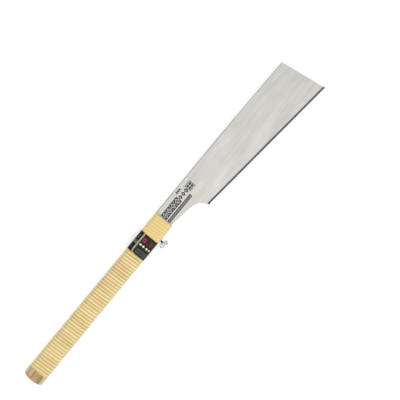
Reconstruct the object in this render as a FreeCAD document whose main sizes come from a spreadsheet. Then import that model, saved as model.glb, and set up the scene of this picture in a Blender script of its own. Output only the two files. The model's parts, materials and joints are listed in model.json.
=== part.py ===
import FreeCAD, Part
import math
import os
import re

import Sketcher

# Pull saw with a replaceable blade and a handle wound with cane.
#
# Millimetres and degrees. X runs from the butt of the handle to the toe of the blade, Y from
# the toothed side to the spine side with 0 on the middle of the handle, and Z is square to the
# blade with 0 in the middle of its thickness. Everything is drawn in these directions, and
# each sub-part's Placement then moves the saw to its own frame, where it lies on its side.
DIMENSIONS = {
    # Blade. The heel is the end of the teeth next to the handle.
    "blade_thickness": 0.7,
    "saw_length": 665.5,
    "toe_drop": 66.5,
    "toe_spine_x": 652.8,
    "toe_spine_y": 14.8,
    "spine_mid_x": 500.0,
    "spine_mid_y": 17.0,
    "heel_x": 401.2,
    "heel_drop": 41.7,
    "step_x": 392.6,
    "step_drop": 26.6,
    "neck_bend_x": 376.0,
    "neck_bend_drop": 20.6,
    "neck_bend_radius": 62.0,
    "neck_top": 17.2,
    "neck_drop": 15.2,
    "corner_round": 1.5,
    "tooth_pitch": 1.75,
    "tooth_depth": 2.76,
    "tooth_front_slope": 0.21,
    "tooth_bevel": 0.35,
    "tooth_end_land": 0.9,
    # Tang of the blade, inside the handle.
    "tang_rear_x": 277.0,
    "tang_front_x": 336.0,
    "tang_top": 9.5,
    "tang_rear_drop": 3.7,
    "tang_front_drop": 6.2,
    "seat_rear_x": 302.1,
    "seat_front_x": 315.0,
    "tang_slot_end_x": 283.3,
    "tang_slot_half": 1.95,
    # Handle.
    "handle_length": 335.7,
    "handle_half_thickness": 12.5,
    "height_butt": 36.0,
    "height_waist": 34.6,
    "height_front": 36.0,
    "corner_radius": 9.0,
    "wrap_start_x": 18.4,
    "waist_start_x": 263.4,
    "waist_end_x": 300.0,
    "cane_thickness": 1.4,
    "label_thickness": 0.35,
    "butt_crown_radius": 45.0,
    "butt_round": 4.0,
    # Blade holder let into the two handle halves.
    "holder_rear_x": 270.0,
    "holder_front_x": 335.4,
    "holder_top": 14.0,
    "holder_drop": 9.0,
    "ear_rear_x": 297.0,
    "ear_drop": 13.15,
    "cheek_inner": 0.45,
    "cheek_outer": 1.65,
    "shoe_notch_rear_x": 303.4,
    "shoe_notch_front_x": 313.0,
    "shoe_notch_drop": 2.9,
    "spacer_bottom": 9.6,
    "spacer_bar_x": 276.5,
    "rivet_x": 280.0,
    "rivet_y": 11.8,
    "rivet_spacing": 15.5,
    "rivet_radius": 1.2,
    "rivet_head": 0.6,
    "fit_gap": 0.02,
    "stop_pin_x": 283.2,
    "stop_pin_y": 2.9,
    "stop_pin_radius": 1.75,
    "cross_pin_radius": 1.5,
    "cross_pin_half_length": 10.4,
    "rear_cross_pin_x": 273.2,
    "rear_cross_pin_drop": 5.0,
    "front_cross_pin_x": 328.0,
    "front_cross_pin_drop": 9.5,
    # Threaded block between the cheeks, on the toothed side.
    "block_rear_x": 297.2,
    "block_front_x": 317.2,
    "block_top_drop": 10.2,
    "block_bottom_drop": 15.4,
    "block_half_width": 4.5,
    "block_slot_half": 1.7,
    "block_slot_drop": 13.2,
    "block_pin_radius": 1.0,
    "block_pin_rear_x": 299.7,
    "block_pin_front_x": 314.7,
    "block_pin_drop": 11.7,
    # Thumb screw. Its axis leans towards the butt; along it, 0 is the face of the handle and
    # positive is inwards.
    "screw_x": 306.2,
    "screw_drop": 17.5,
    "screw_lean": 11.0,
    "thread_radius": 1.95,
    "tapped_radius": 2.0,
    "pilot_radius": 1.5,
    "pilot_end": 10.6,
    "thread_end": 9.0,
    "wing_top": 4.2,
    "wing_bottom": 12.2,
    "wing_half_width": 7.7,
    "wing_waist": 1.1,
    "wing_half_thickness": 1.6,
    "hub_radius": 3.3,
    "hub_bottom": 11.4,
    "wing_round": 1.2,
    "bush_outer_radius": 3.2,
    "bush_inner_radius": 2.15,
    "bush_inner_end": 1.4,
    "bush_outer_end": 0.3,
    # Clamp shoe on the pilot of the screw.
    "shoe_radius": 3.5,
    "shoe_bottom": 9.1,
    "shoe_face": 12.68,
    "shoe_top": 13.8,
    "shoe_slot_half": 0.45,
    "shoe_bore_radius": 1.55,
    "shoe_bore_end": 10.75,
    "shoe_well_radius": 3.9,
    "shoe_well_end": 6.9,
    "shoe_hollow_half_width": 4.0,
}

DOCUMENT = FreeCAD.newDocument("PullSaw")
SUB_PARTS = []


def make_sheet():
    """Puts every driving dimension in a cell of its own, with its name as alias."""
    sheet = DOCUMENT.addObject("Spreadsheet::Sheet", "Dims")
    for row, (name, size) in enumerate(DIMENSIONS.items(), start=1):
        sheet.set(f"A{row}", name)
        sheet.set(f"B{row}", str(size))
        sheet.setAlias(f"B{row}", name)
    DOCUMENT.recompute()
    return sheet


SHEET = make_sheet()


def bound(expression):
    """The expression with each dimension's name turned into a reference to its cell."""

    def reference(match):
        word = match.group(0)
        return f"Dims.{word}" if word in DIMENSIONS else word

    return re.sub(r"[a-z][a-z0-9_]*", reference, expression)


def size(expression):
    """The value of an expression in the dimensions' names."""
    return float(SHEET.evalExpression(bound(expression)))


def point(x, y, z="0"):
    return FreeCAD.Vector(size(x), size(y), size(z))


# Drawing


def new_body(label):
    """A body that stands for one sub-part."""
    body = DOCUMENT.addObject("PartDesign::Body", label)
    body.Label = label
    body.AllowCompound = True
    SUB_PARTS.append(body)
    return body


def new_sketch(body, name, role="XY_Plane", rise="0"):
    """An empty sketch on an origin plane of the body, moved along the plane's normal by rise."""
    sketch = body.newObject("Sketcher::SketchObject", name)
    plane = next(item for item in body.Origin.OriginFeatures if item.Role == role)
    sketch.AttachmentSupport = [(plane, "")]
    sketch.MapMode = "FlatFace"
    sketch.setExpression("AttachmentOffset.Base.z", bound(rise))
    return sketch


def new_screw_sketch(body, name):
    """An empty sketch in the blade's plane whose vertical axis is the axis of the screw."""
    sketch = new_sketch(body, name)
    turned = FreeCAD.Rotation(FreeCAD.Vector(0, 0, 1), -size("screw_lean"))
    sketch.AttachmentOffset = FreeCAD.Placement(point("screw_x", "-screw_drop"), turned)
    sketch.setExpression("AttachmentOffset.Base.x", bound("screw_x"))
    sketch.setExpression("AttachmentOffset.Base.y", bound("-screw_drop"))
    sketch.setExpression("AttachmentOffset.Rotation.Angle", bound("-screw_lean"))
    return sketch


def bind(sketch, constraint, expression):
    """Adds a constraint whose value follows an expression."""
    index = sketch.addConstraint(constraint)
    sketch.setExpression(f"Constraints[{index}]", bound(expression))


def pin_point(sketch, geometry, end, x, y):
    """Fixes one end of an edge at (x, y) in the sketch."""
    bind(sketch, Sketcher.Constraint("DistanceX", -1, 1, geometry, end, size(x)), x)
    bind(sketch, Sketcher.Constraint("DistanceY", -1, 1, geometry, end, size(y)), y)


def side(start, finish, radius):
    """The edge between two corners: straight, or bent to the left (+) or to the right (-)."""
    if radius == 0:
        return Part.LineSegment(start, finish)
    chord = finish - start
    leftward = FreeCAD.Vector(-chord.y, chord.x, 0).normalize()
    reach = math.sqrt(max(radius**2 - chord.Length**2 / 4, 0))
    middle = (start + finish) / 2
    turn = math.copysign(1, radius)
    crown = middle + leftward * turn * (reach - abs(radius))
    return Part.Arc(start, crown, finish)


def draw_outline(sketch, corners):
    """Draws a closed outline. Each corner is (x, y), or (x, y, radius) where an arc leaves it."""
    places = [point(corner[0], corner[1]) for corner in corners]
    edges = []
    for index, corner in enumerate(corners):
        start = places[index]
        finish = places[(index + 1) % len(places)]
        radius = corner[2] if len(corner) > 2 else "0"
        geometry = sketch.addGeometry(side(start, finish, size(radius)))
        starts_first = sketch.getPoint(geometry, 1).distanceToPoint(start) < 1e-6
        edges.append((geometry, 1 if starts_first else 2, 2 if starts_first else 1))
        if radius != "0":
            unsigned = radius.lstrip("-")
            bind(sketch, Sketcher.Constraint("Radius", geometry, size(unsigned)), unsigned)
    for index, (geometry, first, last) in enumerate(edges):
        following = edges[(index + 1) % len(edges)]
        sketch.addConstraint(
            Sketcher.Constraint("Coincident", geometry, last, following[0], following[1])
        )
        pin_point(sketch, geometry, first, corners[index][0], corners[index][1])


def draw_rectangle(sketch, left, bottom, right, top):
    draw_outline(sketch, [(left, bottom), (right, bottom), (right, top), (left, top)])


def draw_circle(sketch, x, y, radius):
    """Draws a circle about (x, y)."""
    circle = Part.Circle(point(x, y), FreeCAD.Vector(0, 0, 1), size(radius))
    geometry = sketch.addGeometry(circle)
    pin_point(sketch, geometry, 3, x, y)
    bind(sketch, Sketcher.Constraint("Radius", geometry, size(radius)), radius)


# Features


def pad(body, sketch, length, both_ways=False, backwards=False):
    """Pads a sketch away from its plane, or by half the length on each side of it."""
    feature = body.newObject("PartDesign::Pad", f"{sketch.Name}_pad")
    feature.Profile = sketch
    feature.SideType = "Symmetric" if both_ways else "One side"
    feature.Reversed = backwards
    feature.setExpression("Length", bound(length))
    return feature


def pocket(body, sketch, length=None, both_ways=False, backwards=False):
    """Cuts a sketch to a depth, or through the whole body on both sides of its plane."""
    before = solid_volume(body)
    feature = body.newObject("PartDesign::Pocket", f"{sketch.Name}_pocket")
    feature.Profile = sketch
    feature.Reversed = backwards
    if length is None:
        feature.SideType = "Symmetric"
        feature.Type = "ThroughAll"
    else:
        feature.SideType = "Symmetric" if both_ways else "One side"
        feature.setExpression("Length", bound(length))
    expect_less(body, feature, before)
    return feature


def revolve(body, sketch, axis="V_Axis"):
    feature = body.newObject("PartDesign::Revolution", f"{sketch.Name}_revolution")
    feature.Profile = sketch
    feature.ReferenceAxis = (sketch, [axis])
    feature.Angle = 360
    return feature


def groove(body, sketch, axis="V_Axis"):
    """Cuts the turned profile out of the body."""
    before = solid_volume(body)
    feature = body.newObject("PartDesign::Groove", f"{sketch.Name}_groove")
    feature.Profile = sketch
    feature.ReferenceAxis = (sketch, [axis])
    feature.Angle = 360
    expect_less(body, feature, before)
    return feature


def dress(body, kind, edges_of, amount):
    """Rounds or chamfers those edges of the body's tip that edges_of chooses."""
    DOCUMENT.recompute()
    tip = body.Tip
    chosen = [
        f"Edge{number}"
        for number, edge in enumerate(tip.Shape.Edges, start=1)
        if edges_of(edge)
    ]
    if not chosen:
        raise RuntimeError(f"{body.Label}: no edge to dress")
    feature = body.newObject(f"PartDesign::{kind}", f"{body.Name}_{kind.lower()}")
    feature.Base = (tip, chosen)
    feature.setExpression("Radius" if kind == "Fillet" else "Size", bound(amount))
    return feature


def solid_volume(body):
    DOCUMENT.recompute()
    return body.Shape.Volume


def expect_less(body, feature, before):
    """A cut that points away from the body removes nothing, which shows only in the volume."""
    DOCUMENT.recompute()
    if body.Shape.Volume > before - 1e-3:
        raise RuntimeError(f"{body.Label}: {feature.Name} cuts nothing")


# Zones of the handle


def height_at(x):
    """The height of the handle at x, which falls evenly from the butt to the waist."""
    return f"(height_butt + (height_waist - height_butt) * ({x}) / waist_end_x)"


class Zone:
    """A stretch of the handle. inset is how far the wood is let in below the outer surface."""

    def __init__(self, name, start, end, inset, height=None):
        self.name = name
        self.start = start
        self.end = end
        self.inset = inset
        self.first_height = height or height_at(start)
        self.last_height = height or height_at(end)


BUTT = Zone("butt", "0", "wrap_start_x", "0")
GRIP = Zone("grip", "wrap_start_x", "waist_start_x", "cane_thickness")
WAIST = Zone("waist", "waist_start_x", "waist_end_x", "label_thickness")
FRONT = Zone("front", "waist_end_x", "handle_length", "cane_thickness", "height_front")


def draw_zone(body, name, zone, inset):
    """The plan of one zone of the handle, drawn in by inset at both edges."""
    plan = new_sketch(body, name)
    first = f"({zone.first_height} / 2 - {inset})"
    last = f"({zone.last_height} / 2 - {inset})"
    corners = [
        (zone.start, f"-{first}"),
        (zone.end, f"-{last}"),
        (zone.end, last),
        (zone.start, first),
    ]
    draw_outline(plan, corners)
    return plan


def round_zone(body, zone, inset):
    """Rounds the long edges of a zone, so that its section becomes a rounded rectangle."""
    start = size(zone.start)
    end = size(zone.end)
    depth = size(f"handle_half_thickness - {inset}")

    def runs_along(edge):
        box = edge.BoundBox
        level = box.ZLength < 1e-3 and abs(abs(box.Center.z) - depth) < 1e-3
        whole = abs(box.XMin - start) < 1e-3 and abs(box.XMax - end) < 1e-3
        return level and whole

    dress(body, "Fillet", runs_along, f"corner_radius - {inset}")


# Wooden handle


def make_handle_half(label, backwards=False):
    """One half of the wooden core, split in the blade's plane."""
    body = new_body(label)
    # Thinner zones come first: the square corners of a thin zone would stick out of a thicker
    # zone that is already rounded, and could then not be rounded themselves.
    for zone in (GRIP, FRONT, BUTT, WAIST):
        plan = draw_zone(body, f"{label}_{zone.name}", zone, zone.inset)
        pad(body, plan, f"handle_half_thickness - {zone.inset}", backwards=backwards)
        round_zone(body, zone, zone.inset)
    crown_the_butt(body, label)
    let_in_the_holder(body, label, backwards=not backwards)
    bore_for_the_screw(body, label)
    return body


def crown_the_butt(body, label):
    """The butt is slightly domed, and its rim is rounded."""
    crown = new_sketch(body, f"{label}_crown")
    reach = "height_butt * 0.6"
    sagitta = f"butt_crown_radius - sqrt(butt_crown_radius ^ 2 - ({reach}) ^ 2)"
    corners = [
        ("-1", "0"),
        ("0", "0", "-butt_crown_radius"),
        (sagitta, reach),
        ("-1", reach),
    ]
    draw_outline(crown, corners)
    groove(body, crown, "H_Axis")

    def on_rim(edge):
        box = edge.BoundBox
        return box.XMax < size("butt_round") + 1 and box.ZLength + box.YLength > 1 and (
            abs(box.ZMin) > 1e-3 or abs(box.ZMax) > 1e-3
        )

    dress(body, "Fillet", on_rim, "butt_round")


def let_in_the_holder(body, label, backwards):
    """Hollows for the cheeks, the block and the shoe, and holes for the cross pins."""
    cheek = new_sketch(body, f"{label}_cheek_bed")
    draw_outline(cheek, holder_outline("handle_length"))
    pocket(body, cheek, "cheek_outer", backwards=backwards)
    block = new_sketch(body, f"{label}_block_bed")
    draw_rectangle(
        block, "block_rear_x", "-block_bottom_drop", "block_front_x", "-block_top_drop"
    )
    pocket(body, block, "block_half_width", backwards=backwards)
    shoe = new_sketch(body, f"{label}_shoe_bed")
    draw_rectangle(
        shoe,
        "shoe_notch_rear_x",
        "-block_top_drop",
        "shoe_notch_front_x",
        "-shoe_notch_drop",
    )
    pocket(body, shoe, "shoe_hollow_half_width", backwards=backwards)
    pins = new_sketch(body, f"{label}_pin_holes")
    for x, y in CROSS_PINS:
        draw_circle(pins, x, y, "cross_pin_radius + fit_gap")
    pocket(body, pins, "cross_pin_half_length", backwards=backwards)


def bore_for_the_screw(body, label):
    """A leaning hole through the wall on the toothed side, which takes the bush."""
    hole = new_screw_sketch(body, f"{label}_bush_hole")
    draw_rectangle(hole, "0", "-cane_thickness", "bush_outer_radius", "cane_thickness * 2")
    groove(body, hole)


def holder_outline(front):
    """The cheeks' outline, which is deeper beside the threaded block."""
    return [
        ("holder_rear_x", "-holder_drop"),
        ("ear_rear_x - 5", "-holder_drop"),
        ("ear_rear_x", "-ear_drop"),
        (front, "-ear_drop"),
        (front, "holder_top"),
        ("holder_rear_x", "holder_top"),
    ]


CROSS_PINS = [
    ("rear_cross_pin_x", "-rear_cross_pin_drop"),
    ("front_cross_pin_x", "-front_cross_pin_drop"),
]
BLOCK_PINS = [
    ("block_pin_rear_x", "-block_pin_drop"),
    ("block_pin_front_x", "-block_pin_drop"),
]


# Cane winding and label


def make_sleeve(label, zone):
    """A sleeve that fills one zone of the handle from the wood out to its surface."""
    body = new_body(label)
    outside = draw_zone(body, f"{label}_outside", zone, "0")
    pad(body, outside, "2 * handle_half_thickness", both_ways=True)
    inside = draw_zone(body, f"{label}_inside", zone, zone.inset)
    pocket(body, inside, f"2 * (handle_half_thickness - {zone.inset})", both_ways=True)
    # The hollow is rounded first: its square corners would break through the rounded outside.
    round_zone(body, zone, zone.inset)
    round_zone(body, zone, "0")
    return body


def make_front_wrap():
    body = make_sleeve("rattan_wrap_front", FRONT)
    bore_for_the_screw(body, "rattan_wrap_front")
    return body


# Blade holder


def make_cheek(label, way):
    """One side plate of the holder, with countersunk rivet holes and a notch for the shoe."""
    body = new_body(label)
    plate = new_sketch(body, f"{label}_plate", rise=f"{way}cheek_inner")
    draw_outline(plate, holder_outline("holder_front_x"))
    pad(body, plate, "cheek_outer - cheek_inner", backwards=way == "-")
    notch = new_sketch(body, f"{label}_notch")
    draw_rectangle(
        notch,
        "shoe_notch_rear_x",
        "-ear_drop - 1",
        "shoe_notch_front_x",
        "-shoe_notch_drop",
    )
    pocket(body, notch)
    holes = new_sketch(body, f"{label}_rivet_holes")
    for number in range(4):
        draw_circle(
            holes, f"rivet_x + {number} * rivet_spacing", "rivet_y", "rivet_radius + fit_gap"
        )
    pocket(body, holes)

    def on_rivet_rim(edge):
        box = edge.BoundBox
        outside = abs(abs(box.Center.z) - size("cheek_outer")) < 1e-3
        small = abs(box.XLength - 2 * size("rivet_radius + fit_gap")) < 1e-2
        return outside and small and box.ZLength < 1e-3

    dress(body, "Chamfer", on_rivet_rim, "rivet_head")
    pins = new_sketch(body, f"{label}_pin_holes")
    draw_circle(pins, "stop_pin_x", "stop_pin_y", "stop_pin_radius + fit_gap")
    for x, y in CROSS_PINS:
        draw_circle(pins, x, y, "cross_pin_radius + fit_gap")
    for x, y in BLOCK_PINS:
        draw_circle(pins, x, y, "block_pin_radius + fit_gap")
    pocket(body, pins)
    return body


def make_spacer():
    """The angle between the cheeks: a bar over the tang and a bar behind it."""
    body = new_body("holder_spacer")
    plate = new_sketch(body, "spacer_plate")
    corners = [
        ("holder_rear_x", "-holder_drop"),
        ("spacer_bar_x", "-holder_drop"),
        ("spacer_bar_x", "spacer_bottom"),
        ("holder_front_x", "spacer_bottom"),
        ("holder_front_x", "holder_top"),
        ("holder_rear_x", "holder_top"),
    ]
    draw_outline(plate, corners)
    pad(body, plate, "2 * cheek_inner", both_ways=True)
    holes = new_sketch(body, "spacer_holes")
    for number in range(4):
        draw_circle(
            holes, f"rivet_x + {number} * rivet_spacing", "rivet_y", "rivet_radius + fit_gap"
        )
    draw_circle(
        holes, "rear_cross_pin_x", "-rear_cross_pin_drop", "cross_pin_radius + fit_gap"
    )
    pocket(body, holes)
    return body


def make_rivets():
    """Four countersunk rivets in a row through the cheeks and the spacer."""
    body = new_body("holder_rivets")
    profile = new_sketch(body, "rivet_profile", "XZ_Plane", "-rivet_y")
    head = "rivet_x + rivet_radius + rivet_head"
    shank = "rivet_x + rivet_radius"
    corners = [
        ("rivet_x", "-cheek_outer"),
        (head, "-cheek_outer"),
        (shank, "-cheek_outer + rivet_head"),
        (shank, "cheek_outer - rivet_head"),
        (head, "cheek_outer"),
        ("rivet_x", "cheek_outer"),
    ]
    draw_outline(profile, corners)
    axis = Part.LineSegment(point("rivet_x", "-9"), point("rivet_x", "9"))
    profile.addGeometry(axis, True)
    rivet = revolve(body, profile, "Axis0")
    DOCUMENT.recompute()
    row = body.newObject("PartDesign::LinearPattern", "rivet_row")
    row.Originals = [rivet]
    row.Direction = (profile, ["H_Axis"])
    row.setExpression("Length", bound("3 * rivet_spacing"))
    row.Occurrences = 4
    body.Tip = row
    return body


def make_pins(label, places, radius, half_length):
    """Plain pins square to the blade, one at each place."""
    body = new_body(label)
    ends = new_sketch(body, f"{label}_ends")
    for x, y in places:
        draw_circle(ends, x, y, radius)
    pad(body, ends, f"2 * {half_length}", both_ways=True)
    return body


def make_clamp_block():
    """The block that the thumb screw is threaded into, slotted over the cheeks' ears."""
    body = new_body("clamp_block")
    plan = new_sketch(body, "block_plan")
    draw_rectangle(
        plan, "block_rear_x", "-block_bottom_drop", "block_front_x", "-block_top_drop"
    )
    pad(body, plan, "2 * block_half_width", both_ways=True)
    slot = new_sketch(body, "block_slot", "YZ_Plane")
    draw_rectangle(
        slot, "-block_slot_drop", "-block_slot_half", "-block_top_drop + 1", "block_slot_half"
    )
    pocket(body, slot)
    bore = new_screw_sketch(body, "block_bore")
    corners = [
        ("0", "-2"),
        ("tapped_radius", "-2"),
        ("tapped_radius", "shoe_well_end"),
        ("shoe_well_radius", "shoe_well_end"),
        ("shoe_well_radius", "shoe_top"),
        ("0", "shoe_top"),
    ]
    draw_outline(bore, corners)
    groove(body, bore)
    pins = new_sketch(body, "block_pin_holes")
    for x, y in BLOCK_PINS:
        draw_circle(pins, x, y, "block_pin_radius + fit_gap")
    pocket(body, pins)
    return body


def make_bush():
    """The metal lining of the screw's hole through the wood and the cane."""
    body = new_body("screw_bush")
    wall = new_screw_sketch(body, "bush_wall")
    draw_rectangle(
        wall, "bush_inner_radius", "-bush_outer_end", "bush_outer_radius", "bush_inner_end"
    )
    revolve(body, wall)
    return body


# Thumb screw and shoe


def make_screw_shank():
    """The threaded rod, drawn at the outside of its thread, with a plain pilot at its tip."""
    body = new_body("thumb_screw_shank")
    profile = new_screw_sketch(body, "shank_profile")
    corners = [
        ("0", "-hub_bottom + 1"),
        ("thread_radius", "-hub_bottom + 1"),
        ("thread_radius", "thread_end"),
        ("pilot_radius", "thread_end"),
        ("pilot_radius", "pilot_end"),
        ("0", "pilot_end"),
    ]
    draw_outline(profile, corners)
    revolve(body, profile)
    return body


def make_screw_wing():
    """The cast head: a hub with two flat wings."""
    body = new_body("thumb_screw_wing")
    wings = new_screw_sketch(body, "wing_plan")
    corners = [
        ("-wing_half_width + 2", "-wing_top"),
        ("0", "-wing_top - wing_waist"),
        ("wing_half_width - 2", "-wing_top"),
        ("wing_half_width", "-wing_top - 2"),
        ("wing_half_width", "-wing_bottom + 2"),
        ("wing_half_width - 2", "-wing_bottom"),
        ("0", "-wing_bottom + wing_waist"),
        ("-wing_half_width + 2", "-wing_bottom"),
        ("-wing_half_width", "-wing_bottom + 2"),
        ("-wing_half_width", "-wing_top - 2"),
    ]
    draw_outline(wings, corners)
    pad(body, wings, "2 * wing_half_thickness", both_ways=True)
    dress(body, "Fillet", lambda edge: edge.BoundBox.ZLength < 1e-3, "wing_round")
    hub = new_screw_sketch(body, "hub_profile")
    corners = [
        ("0", "-hub_bottom"),
        ("hub_radius - 1", "-hub_bottom"),
        ("hub_radius", "-hub_bottom + 1"),
        ("hub_radius - 0.4", "-wing_top"),
        ("0", "-wing_top"),
    ]
    draw_outline(hub, corners)
    revolve(body, hub)
    bore = new_screw_sketch(body, "hub_bore")
    draw_rectangle(bore, "0", "-hub_bottom + 1", "thread_radius", "0")
    groove(body, bore)
    return body


def make_shoe():
    """The shoe that bears on the tang's edge. It straddles the edge and doesn't turn."""
    body = new_body("clamp_shoe")
    profile = new_screw_sketch(body, "shoe_profile")
    corners = [
        ("shoe_bore_radius", "shoe_bottom"),
        ("shoe_radius", "shoe_bottom"),
        ("shoe_radius", "shoe_top"),
        ("0", "shoe_top"),
        ("0", "shoe_bore_end"),
        ("shoe_bore_radius", "shoe_bore_end"),
    ]
    draw_outline(profile, corners)
    revolve(body, profile)
    slot = new_screw_sketch(body, "shoe_slot")
    draw_rectangle(slot, "-shoe_radius - 1", "shoe_face", "shoe_radius + 1", "shoe_top + 1")
    pocket(body, slot, "2 * shoe_slot_half", both_ways=True)
    return body


# Blade


def make_blade_plate():
    """The blade with its tang, before the teeth are cut."""
    body = DOCUMENT.addObject("PartDesign::Body", "blade_plate")
    plan = new_sketch(body, "blade_plan")
    slot_y = "stop_pin_y"
    corners = [
        ("saw_length", "-toe_drop"),
        ("toe_spine_x", "toe_spine_y"),
        ("spine_mid_x", "spine_mid_y"),
        ("tang_front_x", "neck_top"),
        ("tang_front_x", "tang_top"),
        ("tang_rear_x", "tang_top"),
        ("tang_rear_x", f"{slot_y} + tang_slot_half"),
        ("tang_slot_end_x", f"{slot_y} + tang_slot_half", "-tang_slot_half"),
        ("tang_slot_end_x", f"{slot_y} - tang_slot_half"),
        ("tang_rear_x", f"{slot_y} - tang_slot_half"),
        ("tang_rear_x", "-tang_rear_drop"),
        ("seat_rear_x", "-tang_rear_drop"),
        ("seat_front_x", "-tang_front_drop"),
        ("tang_front_x", "-tang_front_drop"),
        ("tang_front_x", "-neck_drop"),
        ("neck_bend_x", "-neck_bend_drop", "-neck_bend_radius"),
        ("step_x", "-step_drop"),
        ("heel_x", "-heel_drop"),
    ]
    draw_outline(plan, corners)
    pad(body, plan, "blade_thickness", both_ways=True)
    rounded = [point("toe_spine_x", "toe_spine_y"), point("tang_rear_x", "tang_top")]

    def at_rounded_corner(edge):
        middle = edge.BoundBox.Center
        upright = edge.BoundBox.ZLength > size("blade_thickness") * 0.9
        return upright and any(middle.distanceToPoint(place) < 0.01 for place in rounded)

    dress(body, "Fillet", at_rounded_corner, "corner_round")
    return body


def gullet_profile(height, line_length):
    """The zigzag of gullets and tooth tips at one height, along and out from the tooth line.

    Each gullet runs through the blade at a slant, to the left and to the right in turn, so
    that every tooth is bevelled on both edges and comes to a point on alternate faces.
    """
    pitch = size("tooth_pitch")
    depth = size("tooth_depth")
    skew = size("tooth_bevel") * height / size("blade_thickness")
    front = size("tooth_front_slope")
    back = (pitch + size("tooth_bevel")) / depth - front
    land = size("tooth_end_land")
    outside = depth + 2
    count = int((line_length - 2 * land - back * depth) / pitch)
    starts = [land + back * depth + number * pitch for number in range(count + 1)]
    shifts = [skew if number % 2 == 0 else -skew for number in range(count + 1)]
    zigzag = [(starts[0] + shifts[0] - back * outside, outside)]
    for number, (start, shift) in enumerate(zip(starts, shifts)):
        zigzag.append((start + shift, 0))
        if number < count:
            reach = (pitch + shifts[number + 1] - shift) / (front + back)
            zigzag.append((start + shift + front * reach, reach))
    zigzag.append((starts[-1] + shifts[-1] + front * outside, outside))
    return [FreeCAD.Vector(along, -out, height) for along, out in zigzag]


def make_gullets():
    """One solid that holds the space of all the gullets, beyond both faces of the blade."""
    heel = point("heel_x", "-heel_drop")
    toe = point("saw_length", "-toe_drop")
    line = toe - heel
    reach = size("blade_thickness")
    low = gullet_profile(-reach, line.Length)
    high = gullet_profile(reach, line.Length)
    faces = [
        Part.Face(Part.makePolygon(low + low[:1])),
        Part.Face(Part.makePolygon(high + high[:1])),
    ]
    for number in range(len(low)):
        following = (number + 1) % len(low)
        ring = [low[number], low[following], high[following], high[number], low[number]]
        faces.append(Part.Face(Part.makePolygon(ring)))
    shell = Part.Shell(faces)
    shell.sewShape()
    gullets = DOCUMENT.addObject("Part::Feature", "tooth_gullets")
    solid = Part.Solid(shell)
    if solid.Volume < 0:
        solid.reverse()
    gullets.Shape = solid
    turned = FreeCAD.Rotation(FreeCAD.Vector(1, 0, 0), line)
    inwards = turned.multVec(FreeCAD.Vector(0, size("tooth_depth"), 0))
    gullets.Placement = FreeCAD.Placement(heel + inwards, turned)
    return gullets


def make_blade():
    blade = DOCUMENT.addObject("Part::Cut", "blade")
    blade.Base = make_blade_plate()
    blade.Tool = make_gullets()
    blade.Label = "blade"
    SUB_PARTS.append(blade)
    return blade


# The whole saw


def make_all():
    make_handle_half("handle_half_right")
    make_handle_half("handle_half_left", backwards=True)
    make_sleeve("rattan_wrap_main", GRIP)
    make_front_wrap()
    make_sleeve("label_band", WAIST)
    make_cheek("holder_cheek_right", "")
    make_cheek("holder_cheek_left", "-")
    make_spacer()
    make_rivets()
    stop_pin = [("stop_pin_x", "stop_pin_y")]
    make_pins("blade_stop_pin", stop_pin, "stop_pin_radius", "cheek_outer")
    make_pins("handle_cross_pins", CROSS_PINS, "cross_pin_radius", "cross_pin_half_length")
    make_clamp_block()
    make_pins("clamp_block_pins", BLOCK_PINS, "block_pin_radius", "block_half_width")
    make_bush()
    make_screw_shank()
    make_screw_wing()
    make_shoe()
    make_blade()


def place_in_frame():
    """Puts the origin under the middle of the saw, on the surface that it lies on."""
    shifts = {
        "x": "-saw_length / 2",
        "y": "(toe_drop - height_butt / 2) / 2",
        "z": "handle_half_thickness",
    }
    for part in SUB_PARTS:
        for direction, shift in shifts.items():
            part.setExpression(f"Placement.Base.{direction}", bound(shift))
    DOCUMENT.recompute()


def check_all():
    """Stops the script if any object failed or any sub-part isn't a valid solid."""
    for item in DOCUMENT.Objects:
        if "Invalid" in item.State or "Error" in item.State:
            raise RuntimeError(f"{item.Label} failed: {item.State}")
    for part in SUB_PARTS:
        shape = part.Shape
        if shape.isNull() or not shape.isValid() or not shape.Solids:
            raise RuntimeError(f"{part.Label} has no valid solid")
        box = shape.BoundBox
        print(
            f"{part.Label}: {len(shape.Solids)} solid(s), {shape.Volume:.1f} mm3,"
            f" x {box.XMin:.2f}..{box.XMax:.2f}, y {box.YMin:.2f}..{box.YMax:.2f},"
            f" z {box.ZMin:.2f}..{box.ZMax:.2f}"
        )


def write_all():
    os.makedirs("parts", exist_ok=True)
    for part in SUB_PARTS:
        part.Shape.exportStep(f"parts/{part.Label}.step")


make_all()
place_in_frame()
check_all()
write_all()
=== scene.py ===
import json
import math

import bmesh
import bpy
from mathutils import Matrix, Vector, noise


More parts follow.
